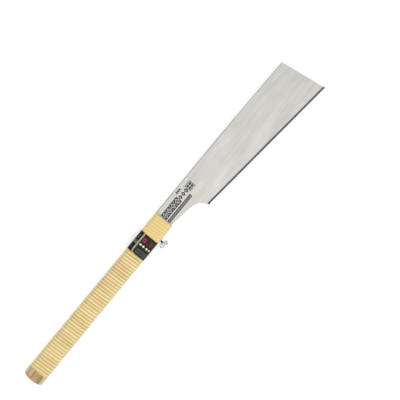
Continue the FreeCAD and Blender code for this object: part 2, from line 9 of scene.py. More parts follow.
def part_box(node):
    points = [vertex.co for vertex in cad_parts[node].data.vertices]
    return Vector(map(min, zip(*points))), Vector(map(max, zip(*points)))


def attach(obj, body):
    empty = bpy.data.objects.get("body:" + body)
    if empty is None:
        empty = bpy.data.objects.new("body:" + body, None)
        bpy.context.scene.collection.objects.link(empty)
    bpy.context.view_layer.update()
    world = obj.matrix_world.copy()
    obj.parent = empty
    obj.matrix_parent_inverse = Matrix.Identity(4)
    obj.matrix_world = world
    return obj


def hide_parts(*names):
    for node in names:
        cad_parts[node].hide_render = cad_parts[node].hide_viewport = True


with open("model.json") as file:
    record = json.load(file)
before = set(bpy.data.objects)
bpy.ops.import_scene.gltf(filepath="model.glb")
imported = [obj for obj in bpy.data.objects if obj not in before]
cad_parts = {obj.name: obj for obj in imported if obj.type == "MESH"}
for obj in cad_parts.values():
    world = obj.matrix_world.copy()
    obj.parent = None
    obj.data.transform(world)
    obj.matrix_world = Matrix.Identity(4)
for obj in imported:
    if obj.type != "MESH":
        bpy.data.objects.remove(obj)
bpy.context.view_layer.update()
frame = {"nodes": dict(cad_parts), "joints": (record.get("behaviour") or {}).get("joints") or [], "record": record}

# Pull saw lying on its side. Metres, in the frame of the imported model: X runs from the butt of
# the handle to the toe of the blade, -Y is the toothed side and +Z is up.

MM = 0.001

# What the frame says


def joint(name):
    return next(item for item in frame["joints"] if item["name"] == name)


WRAP_LOW, WRAP_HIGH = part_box("rattan_wrap_main")
FRONT_LOW, FRONT_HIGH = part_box("rattan_wrap_front")
LABEL_LOW, LABEL_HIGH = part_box("label_band")
BLADE_LOW, BLADE_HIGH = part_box("blade")

HANDLE_Y = (WRAP_LOW[1] + WRAP_HIGH[1]) / 2
HANDLE_Z = (WRAP_LOW[2] + WRAP_HIGH[2]) / 2
HALF_THICKNESS = (WRAP_HIGH[2] - WRAP_LOW[2]) / 2
CORNER_RADIUS = 9.0 * MM
CANE_THICKNESS = 1.4 * MM
LABEL_THICKNESS = 0.35 * MM

# The screw's own directions: out of the handle along its axis, and along its wings.
SCREW = joint("screw_turn")
SCREW_AT = Vector(SCREW["pos_m"])
SCREW_OUT = Vector(SCREW["axis"]).normalized()
SCREW_SIDE = Vector((0, 0, 1)).cross(SCREW_OUT)
THREAD_PITCH = 2 * math.pi / frame["record"]["behaviour"]["couplings"][0]["ratio"]


# Camera, floor and light

CAMERA_AIM = Vector((0.0642, -0.0006, 0.0125))
CAMERA_DISTANCE = 1.525
CAMERA_ROLL = math.radians(-50.51)
CAMERA_LENS = 85.0
CAMERA_SENSOR = 36.0


def make_camera():
    """Looks straight down, turned so that the saw points to the upper right."""
    data = bpy.data.cameras.new("camera")
    data.lens = CAMERA_LENS
    data.sensor_width = CAMERA_SENSOR
    camera = bpy.data.objects.new("camera", data)
    camera.location = CAMERA_AIM + Vector((0, 0, CAMERA_DISTANCE))
    camera.rotation_euler = (0, 0, CAMERA_ROLL)
    bpy.context.collection.objects.link(camera)
    bpy.context.scene.camera = camera


def make_floor():
    mesh = bpy.data.meshes.new("floor")
    reach = 6.0
    depth = -0.1 * MM
    corners = [(-reach, -reach), (reach, -reach), (reach, reach), (-reach, reach)]
    mesh.from_pydata([(x, y, depth) for x, y in corners], [], [(0, 1, 2, 3)])
    floor = bpy.data.objects.new("floor", mesh)
    bpy.context.collection.objects.link(floor)
    material = bpy.data.materials.new("floor")
    material.use_nodes = True
    shader = material.node_tree.nodes["Principled BSDF"]
    shader.inputs["Base Color"].default_value = (0.93, 0.93, 0.93, 1)
    shader.inputs["Roughness"].default_value = 0.9
    shader.inputs["Specular IOR Level"].default_value = 0.1
    shader.inputs["Emission Color"].default_value = (1, 1, 1, 1)
    shader.inputs["Emission Strength"].default_value = 0.35
    mesh.materials.append(material)


def make_softbox(name, place, target, size, power):
    """A square soft light that shines from place towards target."""
    data = bpy.data.lights.new(name, "AREA")
    data.shape = "SQUARE"
    data.size = size
    data.energy = power
    light = bpy.data.objects.new(name, data)
    light.location = place
    light.rotation_euler = (Vector(target) - Vector(place)).to_track_quat("-Z", "Y").to_euler()
    bpy.context.collection.objects.link(light)


def make_lights():
    world = bpy.data.worlds.new("studio")
    world.use_nodes = True
    background = world.node_tree.nodes["Background"]
    background.inputs["Color"].default_value = (1.0, 1.0, 1.0, 1)
    background.inputs["Strength"].default_value = 0.62
    bpy.context.scene.world = world
    bpy.context.scene.view_settings.view_transform = "Standard"
    make_softbox("key", place=(0.5, -1.5, 2.0), target=(0, 0, 0), size=1.8, power=20)
    make_softbox("top", place=(-0.9, 0.4, 3.0), target=(0, 0, 0), size=3.6, power=24)


# Meshes


def link_piece(name, mesh, material, body):
    """Puts a mesh in the scene as a piece that rides on a body."""
    piece = bpy.data.objects.new(name, mesh)
    bpy.context.collection.objects.link(piece)
    mesh.materials.append(material)
    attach(piece, body)
    return piece


def mesh_from_rings(name, rings):
    """A smooth mesh of rings of equally many points, joined by quads and capped at both ends."""
    count = len(rings[0])
    points = [point for ring in rings for point in ring]
    faces = []
    last = len(rings) - 1
    for row in range(last):
        here = row * count
        there = here + count
        for column in range(count):
            beside = (column + 1) % count
            faces.append((here + column, here + beside, there + beside, there + column))
    faces.append(tuple(reversed(range(count))))
    faces.append(tuple(range(last * count, (last + 1) * count)))
    mesh = bpy.data.meshes.new(name)
    mesh.from_pydata(points, [], faces)
    face_out(mesh)
    mesh.shade_smooth()
    return mesh


def store(mesh, name, values):
    """Keeps a vector for each point of the mesh, for its material to read."""
    data = mesh.attributes.new(name, "FLOAT_VECTOR", "POINT")
    data.data.foreach_set("vector", [number for value in values for number in value])


def worked(mesh, *modifiers):
    """The mesh after modifiers, each given as (kind, settings)."""
    carrier = bpy.data.objects.new("carrier", mesh)
    bpy.context.collection.objects.link(carrier)
    for kind, settings in modifiers:
        modifier = carrier.modifiers.new(kind, kind)
        for key, value in settings.items():
            setattr(modifier, key, value)
    seen = carrier.evaluated_get(bpy.context.evaluated_depsgraph_get())
    result = bpy.data.meshes.new_from_object(seen)
    result.name = mesh.name
    bpy.data.objects.remove(carrier)
    return result


def cut(mesh, tool_mesh):
    """The mesh without the space that the tool fills."""
    tool = bpy.data.objects.new("tool", tool_mesh)
    bpy.context.collection.objects.link(tool)
    settings = {"object": tool, "operation": "DIFFERENCE", "solver": "EXACT"}
    result = worked(mesh, ("BOOLEAN", settings))
    bpy.data.objects.remove(tool)
    return result


def joined(name, *meshes):
    """One mesh that holds all of the meshes as they are."""
    work = bmesh.new()
    for mesh in meshes:
        work.from_mesh(mesh)
    together = bpy.data.meshes.new(name)
    work.to_mesh(together)
    work.free()
    return together


def face_out(mesh):
    """Makes every face point outwards."""
    work = bmesh.new()
    work.from_mesh(mesh)
    bmesh.ops.recalc_face_normals(work, faces=work.faces)
    work.to_mesh(mesh)
    work.free()


# The handle's section: a rectangle with rounded corners, walked round once. A station is a
# point of the rectangle through the corners' centres and the way out from it.

SIDE_STEPS = 6
CORNER_STEPS = 9


def stations(half_height):
    """Stations round the handle, each (y, z, out_y, out_z, share of the way round)."""
    wide = half_height - CORNER_RADIUS
    deep = HALF_THICKNESS - CORNER_RADIUS
    corners = [(wide, deep), (-wide, deep), (-wide, -deep), (wide, -deep)]
    found = []
    travelled = 0.0
    for number, (y, z) in enumerate(corners):
        for step in range(CORNER_STEPS):
            angle = (number + step / CORNER_STEPS) * math.pi / 2
            found.append((y, z, math.cos(angle), math.sin(angle), travelled))
            travelled += CORNER_RADIUS * math.pi / 2 / CORNER_STEPS
        next_y, next_z = corners[(number + 1) % 4]
        angle = (number + 1) * math.pi / 2
        length = math.dist((y, z), (next_y, next_z))
        for step in range(SIDE_STEPS):
            share = step / SIDE_STEPS
            here = (y + (next_y - y) * share, z + (next_z - z) * share)
            found.append((*here, math.cos(angle), math.sin(angle), travelled))
            travelled += length / SIDE_STEPS
    return [(y, z, out_y, out_z, walked / travelled) for y, z, out_y, out_z, walked in found]


def on_handle(x, station, inset):
    """The point at x that lies inset below the handle's outer surface."""
    y, z, out_y, out_z, _ = station
    reach = CORNER_RADIUS - inset
    return Vector((x, HANDLE_Y + y + out_y * reach, HANDLE_Z + z + out_z * reach))


def main_half_height(x):
    """Half the handle's height at x behind the front winding, where it falls evenly."""
    start = (WRAP_LOW[0], (WRAP_HIGH[1] - WRAP_LOW[1]) / 2)
    end = (LABEL_LOW[0], (LABEL_HIGH[1] - LABEL_LOW[1]) / 2)
    return start[1] + (end[1] - start[1]) * (x - start[0]) / (end[0] - start[0])


def front_half_height(x):
    """Half the handle's height under the front winding, which is the same at every x."""
    return (FRONT_HIGH[1] - FRONT_LOW[1]) / 2


# Cane winding

CANE_PITCH = 5.18 * MM
CANE_GAP = 0.045 * MM
# One turn of the strand, near enough for the spacing of its fibres.
CANE_TURN_LENGTH = 105 * MM
# How far an edge between two turns wanders, quickly and slowly, in mm.
CANE_SWAY = 0.13
CANE_DRIFT = 0.16
# How much the depth of the turns varies, and the narrowest turn that is still drawn.
CANE_UNEVENNESS = 0.05 * MM
NARROWEST_TURN = 0.25 * MM
# The cane's section as (across, how far below the crown in mm): a split cane with a round skin.
CANE_SECTION = [
    (-1.0, 1.4),
    (-1.0, 0.62),
    (-0.95, 0.40),
    (-0.84, 0.23),
    (-0.64, 0.10),
    (-0.34, 0.02),
    (0.0, 0.0),
    (0.34, 0.02),
    (0.64, 0.10),
    (0.84, 0.23),
    (0.95, 0.40),
    (1.0, 0.62),
    (1.0, 1.4),
]


def wind_cane(name, start, end, half_height_at, seed):
    """One strand of cane wound from start to end, cut off square at both shoulders.

    Its "strand" attribute holds each point's place on the strand: along it, across it from its
    middle, and how many turns it has made.
    """

    def boundary(turns):
        """Where the edge between two turns lies, after so many turns."""
        sway = noise.noise(Vector((turns * 1.7, seed, 0.3)))
        drift = noise.noise(Vector((turns * 0.23, seed, 7.1)))
        return start + CANE_PITCH * turns + (CANE_SWAY * sway + CANE_DRIFT * drift) * MM

    rings = []
    strand = []
    total = (end - start) / CANE_PITCH + 1
    for turn in range(math.ceil(total + 1)):
        x_here = min(start + CANE_PITCH * turn, end)
        for station in stations(half_height_at(x_here)):
            turns = turn + station[4]
            low = max(boundary(turns - 1) + CANE_GAP, start)
            high = min(boundary(turns) - CANE_GAP, end)
            if high - low < NARROWEST_TURN:
                continue
            sunk = CANE_UNEVENNESS * (0.5 + noise.noise(Vector((turns * 2.3, seed, 3.7))))
            middle = (low + high) / 2
            half = (high - low) / 2
            fullness = min(half / (CANE_PITCH / 2), 1.0)
            ring = []
            for across, drop in CANE_SECTION:
                inset = min(drop * MM * (0.35 + 0.65 * fullness) + sunk, CANE_THICKNESS)
                if drop == CANE_SECTION[0][1]:
                    inset = CANE_THICKNESS
                ring.append(on_handle(middle + across * half, station, inset))
                strand.append((turns * CANE_TURN_LENGTH, across * half, turns))
            rings.append(ring)
    mesh = mesh_from_rings(name, rings)
    store(mesh, "strand", strand)
    return mesh


# Label

LABEL_STEPS = 24
FILM_THICKNESS = 0.15 * MM
LAP_STEPS = 2
STATIONS = 4 * (CORNER_STEPS + SIDE_STEPS)
SEAM_STATION = 2 * (CORNER_STEPS + SIDE_STEPS) + CORNER_STEPS + SIDE_STEPS // 2


def wrap_label(name):
    """A film that goes once round the waist and laps over its own start on the under side.

    Its "film" attribute holds each point's place on the film: along the handle, and round it
    from the middle of the upper flat, growing towards the spine side.
    """
    low, high = LABEL_LOW[0], LABEL_HIGH[0]
    half_height = main_half_height((low + high) / 2)
    perimeter = 2 * math.pi * CORNER_RADIUS
    perimeter += 4 * (half_height + HALF_THICKNESS - 2 * CORNER_RADIUS)
    upper_middle = CORNER_RADIUS * math.pi / 2 + half_height - CORNER_RADIUS
    around = stations(half_height)
    rings = []
    film = []
    for step in range(STATIONS + LAP_STEPS + 1):
        station = around[(SEAM_STATION + step) % STATIONS]
        lapped = min(max(step - STATIONS + LAP_STEPS, 0) / LAP_STEPS, 1)
        top = LABEL_THICKNESS - FILM_THICKNESS * (1 + lapped)
        beside = upper_middle - station[4] * perimeter
        beside += perimeter if beside < -perimeter / 2 else 0
        ring = []
        for depth in (top, top + FILM_THICKNESS):
            for number in range(LABEL_STEPS + 1):
                share = number / LABEL_STEPS if depth == top else 1 - number / LABEL_STEPS
                x = low + (high - low) * share
                ring.append(on_handle(x, station, depth))
                film.append((x - low, beside, 0))
        rings.append(ring)
    mesh = mesh_from_rings(name, rings)
    store(mesh, "film", film)
    return mesh


# Thumb screw. Distances along it are from the handle's face, and positive outwards.

WING_HALF_THICKNESS = 1.55 * MM
BUSH_HOLE_RADIUS = 3.22 * MM
CREST_RADIUS = 1.94 * MM
ROOT_RADIUS = 1.56 * MM
PILOT_RADIUS = 1.48 * MM
SHANK_OUTER_END = 10.35 * MM
THREAD_INNER_END = -9.0 * MM
THREAD_STEPS_A_TURN = 8
PILOT_END = -10.55 * MM
PILOT_CHAMFER = 0.3 * MM
# Half of the wings' outline, each corner as (side, out, radius) in mm.
WING_CORNERS = [
    (0.0, 5.25, 1.6),
    (5.8, 4.25, 1.9),
    (7.65, 6.5, 1.8),
    (7.65, 10.1, 1.8),
    (5.7, 12.15, 1.9),
    (0.0, 11.2, 1.6),
]
OUTLINE_STEPS = 6
LATHE_STEPS = 48
# The hub's profile, as (out, radius) in mm.
HUB_PROFILE = [
    (4.2, 0.4),
    (4.2, 2.8),
    (6.5, 3.05),
    (10.4, 3.25),
    (11.1, 2.95),
    (11.4, 2.3),
    (11.4, 0.4),
]
# The hollow in each side of a wing: where its middle is, how far it reaches, and its share of
# the wing's thickness.
HOLLOW_SIDE = 5.4 * MM
HOLLOW_REACH = 2.2 * MM
HOLLOW_SHARE = 0.24
CASTING_VOXEL = 0.2 * MM
# The thread's form: the share of half a pitch that its root takes, and that its flank takes.
THREAD_ROOT_SHARE = 0.12
THREAD_FLANK_SHARE = 0.74


def on_screw(out, side, up):
    """The point that far out along the screw, along its wings and square to them."""
    return SCREW_AT + SCREW_OUT * out + SCREW_SIDE * side + Vector((0, 0, up))


def lathe(name, profile, steps, radius_at=None):
    """A closed solid turned about the screw, from a list of (out, radius).

    Where a radius is None, radius_at gives it for that distance and share of a turn.
    """
    rings = []
    for out, radius in profile:
        ring = []
        for step in range(steps):
            turn = step / steps
            reach = radius_at(out, turn) if radius is None else radius
            angle = 2 * math.pi * turn
            ring.append(on_screw(out, reach * math.cos(angle), reach * math.sin(angle)))
        rings.append(ring)
    return mesh_from_rings(name, rings)


def rounded_outline(corners):
    """A closed outline in mm whose corners, each (side, out, radius), are rounded."""
    points = []
    for number, (side, out, radius) in enumerate(corners):
        here = Vector((side, out))
        before = (Vector(corners[number - 1][:2]) - here).normalized()
        after = (Vector(corners[(number + 1) % len(corners)][:2]) - here).normalized()
        half = before.angle(after) / 2
        start = here + before * radius / math.tan(half)
        end = here + after * radius / math.tan(half)
        centre = here + (before + after).normalized() * radius / math.sin(half)
        for step in range(OUTLINE_STEPS + 1):
            arm = (start - centre).lerp(end - centre, step / OUTLINE_STEPS).normalized()
            points.append((centre + arm * radius) * MM)
    return points


def cast_wing(name):
    """The cast head: a hub and two wings, blended together and hollowed a little for the thumb."""
    mirrored = [(-side, out, radius) for side, out, radius in reversed(WING_CORNERS[1:-1])]
    outline = rounded_outline(WING_CORNERS + mirrored)
    levels = (-WING_HALF_THICKNESS, WING_HALF_THICKNESS)
    plate = mesh_from_rings("plate", [[on_screw(p.y, p.x, up) for p in outline] for up in levels])
    hub = lathe("hub", [(out * MM, radius * MM) for out, radius in HUB_PROFILE], LATHE_STEPS)
    blended = worked(
        joined(name, plate, hub),
        ("REMESH", {"mode": "VOXEL", "voxel_size": CASTING_VOXEL}),
        ("SMOOTH", {"factor": 0.5, "iterations": 12}),
    )
    for vertex in blended.vertices:
        side = abs((vertex.co - SCREW_AT).dot(SCREW_SIDE))
        hollow = max(0.0, 1 - abs(side - HOLLOW_SIDE) / HOLLOW_REACH)
        hollow = hollow * hollow * (3 - 2 * hollow)
        vertex.co.z = HANDLE_Z + (vertex.co.z - HANDLE_Z) * (1 - HOLLOW_SHARE * hollow)
    bore_radius = CREST_RADIUS + 0.01 * MM
    bore = lathe("bore", [(0.0, bore_radius), (SHANK_OUTER_END, bore_radius)], LATHE_STEPS)
    mesh = cut(blended, bore)
    mesh.shade_smooth()
    return mesh


def thread_radius(out, turn):
    """The radius of a right-hand thread, at that share of a turn round the screw."""
    phase = (out / THREAD_PITCH - turn) % 1
    flank = min(max((abs(2 * phase - 1) - THREAD_ROOT_SHARE) / THREAD_FLANK_SHARE, 0), 1)
    return ROOT_RADIUS + (CREST_RADIUS - ROOT_RADIUS) * flank


def threaded_shank(name):
    """The screw's rod, threaded from the wings to the plain pilot at its tip."""
    reach = SHANK_OUTER_END - THREAD_INNER_END
    steps = round(reach / THREAD_PITCH * THREAD_STEPS_A_TURN)
    profile = [
        (PILOT_END, PILOT_RADIUS - PILOT_CHAMFER),
        (PILOT_END + PILOT_CHAMFER, PILOT_RADIUS),
        (THREAD_INNER_END, PILOT_RADIUS),
    ]
    profile += [(THREAD_INNER_END + reach * step / steps, None) for step in range(steps + 1)]
    return lathe(name, profile, 32, thread_radius)


# Node materials


class Shader:
    """A material with a Principled shader, and short names for the nodes used here."""

    def __init__(self, name):
        self.material = bpy.data.materials.new(name)
        self.material.use_nodes = True
        self.tree = self.material.node_tree
        self.surface = self.tree.nodes["Principled BSDF"]

    def set(self, **values):
        for name, value in values.items():
            socket = self.surface.inputs[name.replace("_", " ")]
            if hasattr(value, "links"):
                self.tree.links.new(value, socket)
            else:
                socket.default_value = value

    def node(self, kind, *inputs, out=0, **settings):
        """Adds a node, with each input a socket to link or a value, and returns an output."""
        made = self.tree.nodes.new(kind)
        for key, value in settings.items():
            setattr(made, key, value)
        for socket, value in zip(made.inputs, inputs):
            if value is None:
                continue
            if hasattr(value, "links"):
                self.tree.links.new(value, socket)
            else:
                socket.default_value = value
        return made.outputs[out]

    def math(self, operation, *inputs, clamp=False):
        return self.node("ShaderNodeMath", *inputs, operation=operation, use_clamp=clamp)

    def vector(self, operation, *inputs, out=0):
        return self.node("ShaderNodeVectorMath", *inputs, operation=operation, out=out)

    def position(self):
        """The place in the row frame at rest."""
        return self.tree.nodes.new("ShaderNodeTexCoord").outputs["Object"]

    def normal(self):
        """The direction the surface faces, in the frame of the piece."""
        return self.tree.nodes.new("ShaderNodeTexCoord").outputs["Normal"]

    def attribute(self, name):
        made = self.tree.nodes.new("ShaderNodeAttribute")
        made.attribute_name = name
        return made.outputs["Vector"]

    def split(self, vector):
        made = self.tree.nodes.new("ShaderNodeSeparateXYZ")
        self.tree.links.new(vector, made.inputs[0])
        return made.outputs

    def join(self, x, y, z):
        return self.node("ShaderNodeCombineXYZ", x, y, z)

    def noise(self, vector, scale, detail=3.0, rough=0.5):
        made = self.tree.nodes.new("ShaderNodeTexNoise")
        self.tree.links.new(vector, made.inputs["Vector"])
        made.inputs["Scale"].default_value = scale
        made.inputs["Detail"].default_value = detail
        made.inputs["Roughness"].default_value = rough
        return made.outputs["Fac"]

    def ramp(self, factor, stops):
        """A colour ramp. Each stop is (position, (r, g, b))."""
        made = self.tree.nodes.new("ShaderNodeValToRGB")
        ramp = made.color_ramp
        while len(ramp.elements) < len(stops):
            ramp.elements.new(0.5)
        for element, (place, colour) in zip(ramp.elements, stops):
            element.position = place
            element.color = (*colour, 1)
        self.tree.links.new(factor, made.inputs[0])
        return made.outputs["Color"]

    def between(self, value, low, high, to_low=0.0, to_high=1.0):
        """The value eased from low..high to to_low..to_high, and held at the ends."""
        made = self.tree.nodes.new("ShaderNodeMapRange")
        made.interpolation_type = "SMOOTHSTEP"
        self.tree.links.new(value, made.inputs[0])
        for index, number in enumerate((low, high, to_low, to_high), start=1):
            made.inputs[index].default_value = number
        return made.outputs[0]

    def mix(self, factor, first, second, blend="MIX"):
        made = self.tree.nodes.new("ShaderNodeMix")
        made.data_type = "RGBA"
        made.blend_type = blend
        made.clamp_factor = True
        for index, value in ((0, factor), (6, first), (7, second)):
            socket = made.inputs[index]
            if hasattr(value, "links"):
                self.tree.links.new(value, socket)
            elif isinstance(value, tuple):
                socket.default_value = (*value, 1)
            else:
                socket.default_value = value
        return made.outputs[2]

    def bump(self, height, strength, distance):
        made = self.tree.nodes.new("ShaderNodeBump")
        made.inputs["Strength"].default_value = strength
        made.inputs["Distance"].default_value = distance
        self.tree.links.new(height, made.inputs["Height"])
        self.tree.links.new(made.outputs[0], self.surface.inputs["Normal"])

    def offset(self, place, middle):
        """How far the place is from middle along X and Y, without sign and in mm."""
        away = self.vector("SUBTRACT", place, (middle[0] * MM, middle[1] * MM, 0))
        return self.vector("ABSOLUTE", self.vector("MULTIPLY", away, (1000, 1000, 0)))

    def box_mask(self, place, middle, half, radius=0.3, soft=0.12):
        """1 inside a rounded box in the XY plane and 0 outside it, with sizes in mm."""
        inner = (half[0] - radius, half[1] - radius, 0)
        outside = self.vector("SUBTRACT", self.offset(place, middle), inner)
        beyond = self.vector("MAXIMUM", outside, (0, 0, 0))
        distance = self.vector("LENGTH", beyond, out=1)
        return self.between(distance, radius - soft, radius + soft, 1.0, 0.0)

    def lozenge_mask(self, place, middle, half, soft=0.08):
        """1 inside a lozenge in the XY plane and 0 outside it, with sizes in mm."""
        shares = self.vector("DIVIDE", self.offset(place, middle), (half[0], half[1], 1))
        reach = self.vector("DOT_PRODUCT", shares, (1, 1, 0), out=1)
        return self.between(reach, 1 - soft, 1 + soft, 1.0, 0.0)

    def row(self, place, start, pitch, count):
        """The place within its own cell of a row along X, from the cell's middle, and a mask
        that is 1 inside the row."""
        x, y, _ = self.split(place)
        cell = self.math("DIVIDE", self.math("SUBTRACT", x, start * MM), pitch * MM)
        share = self.math("SUBTRACT", self.math("FRACT", cell), 0.5)
        local = self.math("MULTIPLY", share, pitch * MM)
        inside = self.math(
            "MULTIPLY",
            self.math("GREATER_THAN", cell, 0.0),
            self.math("LESS_THAN", cell, float(count)),
        )
        return self.join(local, y, 0), inside

    def less(self, first, second):
        """The part of the first mask that the second one leaves."""
        return self.math("SUBTRACT", first, second, clamp=True)

    def either(self, *masks):
        found = masks[0]
        for mask in masks[1:]:
            found = self.math("MAXIMUM", found, mask)
        return found


def linear(red, green, blue):
    """A colour given as 0 to 255 on a screen, as the linear values that shaders take."""

    def one(value):
        value /= 255
        return value / 12.92 if value <= 0.04045 else ((value + 0.055) / 1.055) ** 2.4

    return (one(red), one(green), one(blue))


def cane_material(name, pale, middle, deep):
    """Split cane: glossy skin, fine fibres, painted shade between turns, painted reflection on the sides."""
    shader = Shader(name)
    strand = shader.attribute("strand")
    across = shader.split(strand)[1]
    fibres = shader.noise(shader.vector("MULTIPLY", strand, (18, 5200, 0)), 1.0, 4.0, 0.6)
    patches = shader.noise(shader.vector("MULTIPLY", strand, (22, 60, 0.9)), 1.0, 2.0, 0.5)
    turns = shader.noise(shader.vector("MULTIPLY", strand, (2.5, 0, 0.35)), 1.0, 3.0, 0.7)
    tone = shader.math("MULTIPLY_ADD", fibres, 0.42, shader.math("MULTIPLY", patches, 0.3))
    tone = shader.math("MULTIPLY_ADD", turns, 0.5, tone)
    colour = shader.ramp(tone, [(0.44, deep), (0.58, middle), (0.74, pale)])
    # Painted shade: each strand darkens towards its edges, where the grooves between turns lie.
    edge = shader.between(shader.math("ABSOLUTE", across), 1.6 * MM, 2.5 * MM)
    colour = shader.mix(shader.math("MULTIPLY", edge, 0.95), colour, deep, "MULTIPLY")
    # Painted reflection: where the surface faces the spine or toothed side, the cane turns pale grey.
    facing = shader.math("ABSOLUTE", shader.split(shader.normal())[1])
    painted_side_reflection = shader.math("MULTIPLY", shader.between(facing, 0.35, 0.95), 0.6)
    colour = shader.mix(painted_side_reflection, colour, linear(200, 197, 182))
    shader.set(Base_Color=colour, Roughness=shader.between(fibres, 0.3, 0.7, 0.34, 0.5))
    shader.set(Coat_Weight=0.45, Coat_Roughness=0.22)
    shader.bump(fibres, 0.45, 0.08 * MM)
    return shader.material


# The tree's middle lies below the handle, which is why the rings run almost flat through it.
RING_CENTRE = (0, HANDLE_Y - 4 * MM, HANDLE_Z - 55 * MM)
RINGS_A_METRE = 620
RING_SWAY = 6 * MM


def wood_material():
    """Bare softwood, ringed about a centre below the handle, with painted reflection paling its sides."""
    shader = Shader("core_wood")
    place = shader.position()
    offset = shader.vector("SUBTRACT", place, RING_CENTRE)
    sway = shader.noise(shader.vector("MULTIPLY", place, (6, 30, 30)), 1.0, 2.0, 0.5)
    flat = shader.vector("MULTIPLY", offset, (0, 1, 1))
    radius = shader.vector("LENGTH", flat, out=1)
    rings = shader.math("MULTIPLY_ADD", sway, RING_SWAY, radius)
    phase = shader.math("FRACT", shader.math("MULTIPLY", rings, RINGS_A_METRE))
    late = shader.between(phase, 0.45, 0.95)
    pores = shader.noise(shader.vector("MULTIPLY", place, (60, 2600, 2600)), 1.0, 3.0, 0.6)
    patches = shader.noise(shader.vector("MULTIPLY", place, (30, 90, 90)), 1.0, 3.0, 0.5)
    tone = shader.math("MULTIPLY_ADD", patches, 0.6, shader.math("MULTIPLY", pores, 0.25))
    tone = shader.math("MULTIPLY_ADD", late, 0.3, tone)
    colour = shader.ramp(
        tone,
        [(0.34, linear(204, 176, 124)), (0.56, linear(174, 142, 88)), (0.82, linear(128, 95, 52))],
    )
    # Painted reflection: where the surface faces the spine or toothed side, the wood turns paler.
    facing = shader.math("ABSOLUTE", shader.split(shader.normal())[1])
    painted_side_reflection = shader.math("MULTIPLY", shader.between(facing, 0.2, 0.75), 0.7)
    colour = shader.mix(painted_side_reflection, colour, linear(222, 208, 178))
    shader.set(Base_Color=colour, Roughness=shader.between(pores, 0.3, 0.7, 0.4, 0.56))
    shader.set(Coat_Weight=0.35, Coat_Roughness=0.3)
    shader.bump(shader.math("MULTIPLY_ADD", late, -0.3, pores), 0.3, 0.08 * MM)
    return shader.material


# Steel, chrome and print

# The blade's edges. The toothed one runs outwards all the way to the toe, and the spine turns
# inwards at its bend.
TOOTHED_LENGTH = 264.3 * MM
TOOTH_SLOPE = 24.8 / 264.3
SPINE_BEND = BLADE_HIGH[0] - 152.8 * MM
SPINE_SLOPE = 2.2 / 152.8
HARDENED = linear(68, 68, 71)
INK = linear(40, 38, 32)
INK_COVER = 0.94
# How far in front of the winding the print starts, in mm.
PRINT_GAP = 1.4
# The middle of the wings, out along the screw.
WING_MIDDLE = 8.1 * MM


def worked_steel(name, colour, roughness, grain, blotches=0.12):
    """Worked steel with fine marks drawn out by grain, and faint blotches."""
    shader = Shader(name)
    place = shader.position()
    marks = shader.noise(shader.vector("MULTIPLY", place, grain), 1.0, 4.0, 0.6)
    cloud = shader.noise(place, 240.0, 4.0, 0.6)
    dark = tuple(value * (1 - 2 * blotches) for value in colour)
    tone = shader.math("MULTIPLY_ADD", marks, 0.35, shader.math("MULTIPLY", cloud, 0.65))
    shader.set(Base_Color=shader.mix(shader.between(tone, 0.3, 0.7), dark, colour), Metallic=1.0)
    shader.set(Roughness=shader.between(marks, 0.25, 0.75, roughness * 0.8, roughness * 1.25))
    shader.bump(marks, 0.3, 0.01 * MM)
    return shader.material


def blade_material():
    """Ground steel: fine marks across it, soft streaks along it, a dark toothed edge, painted
    shade along the spine and a printed neck."""
    shader = Shader("blade_steel")
    place = shader.position()
    x, y, z = shader.split(place)
    marks = shader.noise(shader.vector("MULTIPLY", place, (2600, 26, 0)), 1.0, 3.0, 0.6)
    streaks = shader.noise(shader.vector("MULTIPLY", place, (12, 190, 0)), 1.0, 3.0, 0.6)
    clouds = shader.noise(shader.vector("MULTIPLY", place, (14, 52, 0)), 1.0, 3.0, 0.55)
    shades = [
        (0.32, linear(188, 186, 180)),
        (0.5, linear(204, 202, 196)),
        (0.7, linear(216, 214, 209)),
    ]
    tone = shader.math("MULTIPLY_ADD", clouds, 0.5, shader.math("MULTIPLY", streaks, 0.34))
    tone = shader.math("MULTIPLY_ADD", marks, 0.16, tone)
    colour = shader.ramp(tone, shades)

    toe = (BLADE_HIGH[0], BLADE_LOW[1])
    run = shader.math("SUBTRACT", toe[0], x)
    line = shader.math("MULTIPLY_ADD", run, TOOTH_SLOPE, toe[1])
    inward = shader.math("SUBTRACT", y, line)
    heel = toe[0] - TOOTHED_LENGTH
    beside = shader.between(x, heel - 2 * MM, heel)
    wander = shader.math("MULTIPLY_ADD", shader.noise(place, 900.0, 2.0), 0.6 * MM, inward)
    band = shader.between(wander, 3.6 * MM, 5.8 * MM, 1.0, 0.0)
    colour = shader.mix(shader.math("MULTIPLY", band, beside), colour, HARDENED)
    # Painted shade: a darker line along the spine edge, which follows the spine's bend.
    back = shader.math("SUBTRACT", y, BLADE_HIGH[1])
    slope = shader.math("MAXIMUM", shader.math("SUBTRACT", x, SPINE_BEND), 0.0)
    back = shader.math("MULTIPLY_ADD", slope, SPINE_SLOPE, back)
    spine = shader.between(back, -1.8 * MM, -0.6 * MM)
    colour = shader.mix(shader.math("MULTIPLY", spine, 0.8), colour, linear(112, 111, 118))

    upper_face = shader.math("GREATER_THAN", z, HANDLE_Z)
    ink = shader.math("MULTIPLY", neck_ornament(shader, place), upper_face)
    colour = shader.mix(shader.math("MULTIPLY", ink, INK_COVER), colour, INK)
    rough = shader.between(marks, 0.25, 0.75, 0.36, 0.5)
    rough = shader.math("MULTIPLY_ADD", ink, 0.15, rough)
    metal = shader.math("MULTIPLY_ADD", ink, -0.85, 1.0)
    shader.set(Base_Color=colour, Roughness=rough, Metallic=metal)
    shader.bump(marks, 0.25, 0.006 * MM)
    return shader.material


